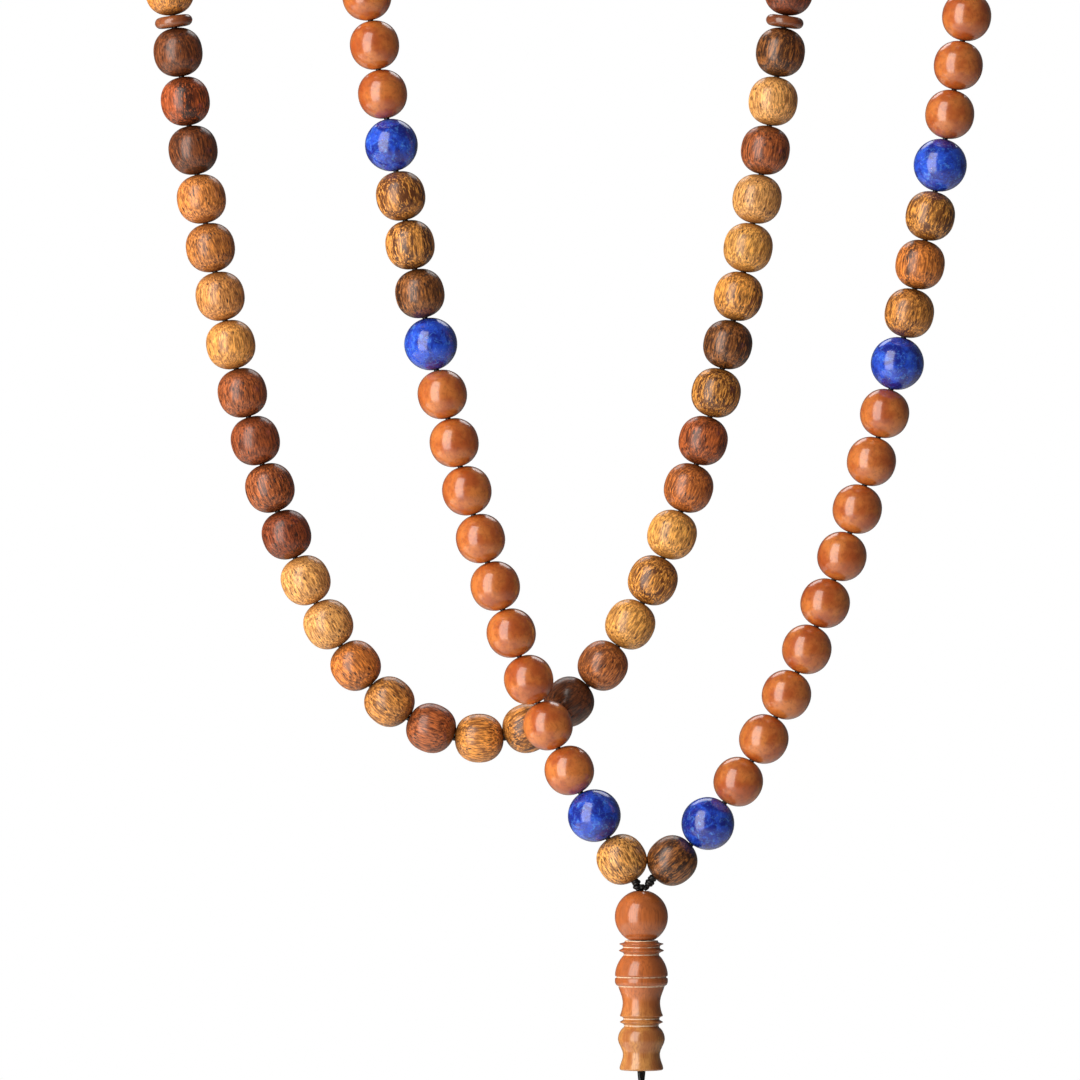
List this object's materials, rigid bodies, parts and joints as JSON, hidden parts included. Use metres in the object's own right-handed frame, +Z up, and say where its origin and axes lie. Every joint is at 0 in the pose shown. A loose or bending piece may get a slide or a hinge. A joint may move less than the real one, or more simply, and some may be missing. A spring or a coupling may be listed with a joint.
{
  "type": "prayer beads",
  "caption": "Closed string of round wood, polished nut and blue stone prayer beads, hung doubled over two pegs, with section discs, a turned leader and a tassel",
  "frame": {"origin": "midway between the two pegs that the string hangs over, level with them and midway between the front and back loops", "axes": "+Z up, +X to the right as seen from the front, +Y to the back, along the pegs"},
  "size_m": [0.1825, 0.023, 0.3712],
  "materials": {
    "bead_wood": "satin",
    "polished_nut": "gloss",
    "disc_nut": "gloss",
    "lapis": "polished",
    "leader_wood": "gloss",
    "waxed_cord": "waxed",
    "tassel_thread": "satin"
  },
  "bodies": {
    "held_over_pegs": {"left_peg_cord": "waxed_cord", "left_peg_nut_beads": "polished_nut", "left_peg_wood_beads": "bead_wood", "right_peg_cord": "waxed_cord", "right_peg_nut_beads": "polished_nut", "right_peg_wood_beads": "bead_wood"},
    "front_loop": {"front_cord": "waxed_cord", "left_cord_knots": "waxed_cord", "right_cord_knots": "waxed_cord", "left_upper_nut_beads": "polished_nut", "right_upper_nut_beads": "polished_nut"},
    "back_loop": {"back_cord": "waxed_cord", "left_back_wood_beads": "bead_wood", "right_back_wood_beads": "bead_wood"},
    "joining_knot": {"joining_knot": "waxed_cord"},
    "leader": {"leader_cord": "waxed_cord"},
    "leader_ball": {"leader_ball": "leader_wood"},
    "leader_stem": {"leader_stem": "leader_wood"},
    "tail": {"tail_cord": "waxed_cord", "tail_knot": "waxed_cord"},
    "tassel": {"tassel_binding": "tassel_thread", "tassel_skirt": "tassel_thread"},
    "left_wood_bead_1": {"left_wood_bead_1": "bead_wood"},
    "left_lapis_bead_1": {"left_lapis_bead_1": "lapis"},
    "left_nut_bead_1": {"left_nut_bead_1": "polished_nut"},
    "left_nut_bead_2": {"left_nut_bead_2": "polished_nut"},
    "left_nut_bead_3": {"left_nut_bead_3": "polished_nut"},
    "left_nut_bead_4": {"left_nut_bead_4": "polished_nut"},
    "left_nut_bead_5": {"left_nut_bead_5": "polished_nut"},
    "left_nut_bead_6": {"left_nut_bead_6": "polished_nut"},
    "left_nut_bead_7": {"left_nut_bead_7": "polished_nut"},
    "left_nut_bead_8": {"left_nut_bead_8": "polished_nut"},
    "left_nut_bead_9": {"left_nut_bead_9": "polished_nut"},
    "left_lapis_bead_2": {"left_lapis_bead_2": "lapis"},
    "left_wood_bead_2": {"left_wood_bead_2": "bead_wood"},
    "left_wood_bead_3": {"left_wood_bead_3": "bead_wood"},
    "left_wood_bead_4": {"left_wood_bead_4": "bead_wood"},
    "left_lapis_bead_3": {"left_lapis_bead_3": "lapis"},
    "left_peg_lapis_bead": {"left_peg_lapis_bead": "lapis"},
    "left_section_disc": {"left_section_disc": "disc_nut"},
    "right_wood_bead_1": {"right_wood_bead_1": "bead_wood"},
    "right_lapis_bead_1": {"right_lapis_bead_1": "lapis"},
    "right_nut_bead_1": {"right_nut_bead_1": "polished_nut"},
    "right_nut_bead_2": {"right_nut_bead_2": "polished_nut"},
    "right_nut_bead_3": {"right_nut_bead_3": "polished_nut"},
    "right_nut_bead_4": {"right_nut_bead_4": "polished_nut"},
    "right_nut_bead_5": {"right_nut_bead_5": "polished_nut"},
    "right_nut_bead_6": {"right_nut_bead_6": "polished_nut"},
    "right_nut_bead_7": {"right_nut_bead_7": "polished_nut"},
    "right_nut_bead_8": {"right_nut_bead_8": "polished_nut"},
    "right_nut_bead_9": {"right_nut_bead_9": "polished_nut"},
    "right_lapis_bead_2": {"right_lapis_bead_2": "lapis"},
    "right_wood_bead_2": {"right_wood_bead_2": "bead_wood"},
    "right_wood_bead_3": {"right_wood_bead_3": "bead_wood"},
    "right_wood_bead_4": {"right_wood_bead_4": "bead_wood"},
    "right_lapis_bead_3": {"right_lapis_bead_3": "lapis"},
    "right_peg_lapis_bead": {"right_peg_lapis_bead": "lapis"},
    "right_section_disc": {"right_section_disc": "disc_nut"},
    "lowest_back_bead": {"lowest_back_bead": "bead_wood"}
  },
  "joints": [
    {"name": "front_loop_swing", "type": "hinge", "parent": "held_over_pegs", "child": "front_loop", "pos_m": [0, -0.006, 0], "axis": [1, 0, 0], "range_deg": [-30, 0]},
    {"name": "back_loop_swing", "type": "hinge", "parent": "held_over_pegs", "child": "back_loop", "pos_m": [0, 0.006, 0], "axis": [1, 0, 0], "range_deg": [0, 30]},
    {"name": "leader_sideways", "type": "hinge", "parent": "front_loop", "child": "joining_knot", "pos_m": [0.013, -0.006, -0.222], "axis": [0, 1, 0], "range_deg": [-20, 20]},
    {"name": "leader_to_and_fro", "type": "hinge", "parent": "joining_knot", "child": "leader", "pos_m": [0.013, -0.006, -0.222], "axis": [1, 0, 0], "range_deg": [-25, 25]},
    {"name": "leader_ball_turn", "type": "hinge", "parent": "leader", "child": "leader_ball", "pos_m": [0.013, -0.006, -0.2276], "axis": [0, 0, 1], "continuous": true},
    {"name": "leader_stem_turn", "type": "hinge", "parent": "leader", "child": "leader_stem", "pos_m": [0.013, -0.006, -0.24725], "axis": [0, 0, 1], "continuous": true},
    {"name": "tail_sideways", "type": "hinge", "parent": "leader", "child": "tail", "pos_m": [0.013, -0.006, -0.25925], "axis": [0, 1, 0], "range_deg": [-30, 30]},
    {"name": "tassel_to_and_fro", "type": "hinge", "parent": "tail", "child": "tassel", "pos_m": [0.013, -0.006, -0.29622], "axis": [1, 0, 0], "range_deg": [-30, 30]},
    {"name": "left_wood_bead_1_turn", "type": "hinge", "parent": "front_loop", "child": "left_wood_bead_1", "pos_m": [0.00901, -0.006, -0.21639], "axis": [-0.5519, 0, 0.8339], "continuous": true},
    {"name": "left_lapis_bead_1_turn", "type": "hinge", "parent": "front_loop", "child": "left_lapis_bead_1", "pos_m": [0.00343, -0.006, -0.20749], "axis": [-0.5124, 0, 0.8588], "continuous": true},
    {"name": "left_nut_bead_1_turn", "type": "hinge", "parent": "front_loop", "child": "left_nut_bead_1", "pos_m": [-0.00165, -0.006, -0.19831], "axis": [-0.4529, 0, 0.8916], "continuous": true},
    {"name": "left_nut_bead_2_turn", "type": "hinge", "parent": "front_loop", "child": "left_nut_bead_2", "pos_m": [-0.00599, -0.006, -0.18919], "axis": [-0.4062, 0, 0.9138], "continuous": true},
    {"name": "left_nut_bead_3_turn", "type": "hinge", "parent": "front_loop", "child": "left_nut_bead_3", "pos_m": [-0.0099, -0.006, -0.17987], "axis": [-0.3675, 0, 0.93], "continuous": true},
    {"name": "left_nut_bead_4_turn", "type": "hinge", "parent": "front_loop", "child": "left_nut_bead_4", "pos_m": [-0.01345, -0.006, -0.17042], "axis": [-0.3352, 0, 0.9422], "continuous": true},
    {"name": "left_nut_bead_5_turn", "type": "hinge", "parent": "front_loop", "child": "left_nut_bead_5", "pos_m": [-0.0167, -0.006, -0.16085], "axis": [-0.3077, 0, 0.9515], "continuous": true},
    {"name": "left_nut_bead_6_turn", "type": "hinge", "parent": "front_loop", "child": "left_nut_bead_6", "pos_m": [-0.01969, -0.006, -0.15121], "axis": [-0.2843, 0, 0.9587], "continuous": true},
    {"name": "left_nut_bead_7_turn", "type": "hinge", "parent": "front_loop", "child": "left_nut_bead_7", "pos_m": [-0.02246, -0.006, -0.14149], "axis": [-0.264, 0, 0.9645], "continuous": true},
    {"name": "left_nut_bead_8_turn", "type": "hinge", "parent": "front_loop", "child": "left_nut_bead_8", "pos_m": [-0.02503, -0.006, -0.13173], "axis": [-0.2464, 0, 0.9692], "continuous": true},
    {"name": "left_nut_bead_9_turn", "type": "hinge", "parent": "front_loop", "child": "left_nut_bead_9", "pos_m": [-0.02744, -0.006, -0.12192], "axis": [-0.2309, 0, 0.973], "continuous": true},
    {"name": "left_lapis_bead_2_turn", "type": "hinge", "parent": "front_loop", "child": "left_lapis_bead_2", "pos_m": [-0.02979, -0.006, -0.11169], "axis": [-0.2167, 0, 0.9762], "continuous": true},
    {"name": "left_wood_bead_2_turn", "type": "hinge", "parent": "front_loop", "child": "left_wood_bead_2", "pos_m": [-0.032, -0.006, -0.10142], "axis": [-0.204, 0, 0.979], "continuous": true},
    {"name": "left_wood_bead_3_turn", "type": "hinge", "parent": "front_loop", "child": "left_wood_bead_3", "pos_m": [-0.03401, -0.006, -0.09152], "axis": [-0.1932, 0, 0.9812], "continuous": true},
    {"name": "left_wood_bead_4_turn", "type": "hinge", "parent": "front_loop", "child": "left_wood_bead_4", "pos_m": [-0.03591, -0.006, -0.0816], "axis": [-0.1834, 0, 0.983], "continuous": true},
    {"name": "left_lapis_bead_3_turn", "type": "hinge", "parent": "front_loop", "child": "left_lapis_bead_3", "pos_m": [-0.03778, -0.006, -0.07127], "axis": [-0.1743, 0, 0.9847], "continuous": true},
    {"name": "left_peg_lapis_bead_turn", "type": "hinge", "parent": "held_over_pegs", "child": "left_peg_lapis_bead", "pos_m": [-0.06757, -0.00024, 0.0197], "axis": [-0.9557, 0.2915, 0.0404], "continuous": true},
    {"name": "left_section_disc_turn", "type": "hinge", "parent": "back_loop", "child": "left_section_disc", "pos_m": [-0.08236, 0.006, -0.0457], "axis": [0.137, 0, -0.9906], "continuous": true},
    {"name": "right_wood_bead_1_turn", "type": "hinge", "parent": "front_loop", "child": "right_wood_bead_1", "pos_m": [0.01924, -0.006, -0.21662], "axis": [0.7604, 0, 0.6494], "continuous": true},
    {"name": "right_lapis_bead_1_turn", "type": "hinge", "parent": "front_loop", "child": "right_lapis_bead_1", "pos_m": [0.0265, -0.006, -0.20908], "axis": [0.6261, 0, 0.7797], "continuous": true},
    {"name": "right_nut_bead_1_turn", "type": "hinge", "parent": "front_loop", "child": "right_nut_bead_1", "pos_m": [0.03267, -0.006, -0.20059], "axis": [0.5451, 0, 0.8384], "continuous": true},
    {"name": "right_nut_bead_2_turn", "type": "hinge", "parent": "front_loop", "child": "right_nut_bead_2", "pos_m": [0.03786, -0.006, -0.19193], "axis": [0.4817, 0, 0.8763], "continuous": true},
    {"name": "right_nut_bead_3_turn", "type": "hinge", "parent": "front_loop", "child": "right_nut_bead_3", "pos_m": [0.04247, -0.006, -0.18294], "axis": [0.4299, 0, 0.9029], "continuous": true},
    {"name": "right_nut_bead_4_turn", "type": "hinge", "parent": "front_loop", "child": "right_nut_bead_4", "pos_m": [0.04659, -0.006, -0.17372], "axis": [0.3872, 0, 0.922], "continuous": true},
    {"name": "right_nut_bead_5_turn", "type": "hinge", "parent": "front_loop", "child": "right_nut_bead_5", "pos_m": [0.05033, -0.006, -0.16433], "axis": [0.3517, 0, 0.9361], "continuous": true},
    {"name": "right_nut_bead_6_turn", "type": "hinge", "parent": "front_loop", "child": "right_nut_bead_6", "pos_m": [0.05373, -0.006, -0.15482], "axis": [0.3218, 0, 0.9468], "continuous": true},
    {"name": "right_nut_bead_7_turn", "type": "hinge", "parent": "front_loop", "child": "right_nut_bead_7", "pos_m": [0.05685, -0.006, -0.14522], "axis": [0.2963, 0, 0.9551], "continuous": true},
    {"name": "right_nut_bead_8_turn", "type": "hinge", "parent": "front_loop", "child": "right_nut_bead_8", "pos_m": [0.05973, -0.006, -0.13554], "axis": [0.2745, 0, 0.9616], "continuous": true},
    {"name": "right_nut_bead_9_turn", "type": "hinge", "parent": "front_loop", "child": "right_nut_bead_9", "pos_m": [0.06241, -0.006, -0.1258], "axis": [0.2554, 0, 0.9668], "continuous": true},
    {"name": "right_lapis_bead_2_turn", "type": "hinge", "parent": "front_loop", "child": "right_lapis_bead_2", "pos_m": [0.065, -0.006, -0.11562], "axis": [0.2383, 0, 0.9712], "continuous": true},
    {"name": "right_wood_bead_2_turn", "type": "hinge", "parent": "front_loop", "child": "right_wood_bead_2", "pos_m": [0.06742, -0.006, -0.10541], "axis": [0.2231, 0, 0.9748], "continuous": true},
    {"name": "right_wood_bead_3_turn", "type": "hinge", "parent": "front_loop", "child": "right_wood_bead_3", "pos_m": [0.06961, -0.006, -0.09555], "axis": [0.2103, 0, 0.9776], "continuous": true},
    {"name": "right_wood_bead_4_turn", "type": "hinge", "parent": "front_loop", "child": "right_wood_bead_4", "pos_m": [0.07168, -0.006, -0.08566], "axis": [0.1988, 0, 0.98], "continuous": true},
    {"name": "right_lapis_bead_3_turn", "type": "hinge", "parent": "front_loop", "child": "right_lapis_bead_3", "pos_m": [0.07371, -0.006, -0.07536], "axis": [0.1881, 0, 0.9821], "continuous": true},
    {"name": "right_peg_lapis_bead_turn", "type": "hinge", "parent": "held_over_pegs", "child": "right_peg_lapis_bead", "pos_m": [0.06964, -0.00088, 0.01776], "axis": [-0.9431, 0.2988, 0.146], "continuous": true},
    {"name": "right_section_disc_turn", "type": "hinge", "parent": "back_loop", "child": "right_section_disc", "pos_m": [0.04236, 0.006, -0.0457], "axis": [-0.137, 0, -0.9906], "continuous": true},
    {"name": "lowest_back_bead_turn", "type": "hinge", "parent": "back_loop", "child": "lowest_back_bead", "pos_m": [-0.02, 0.006, -0.19193], "axis": [1, 0, 0], "continuous": true}
  ]
}
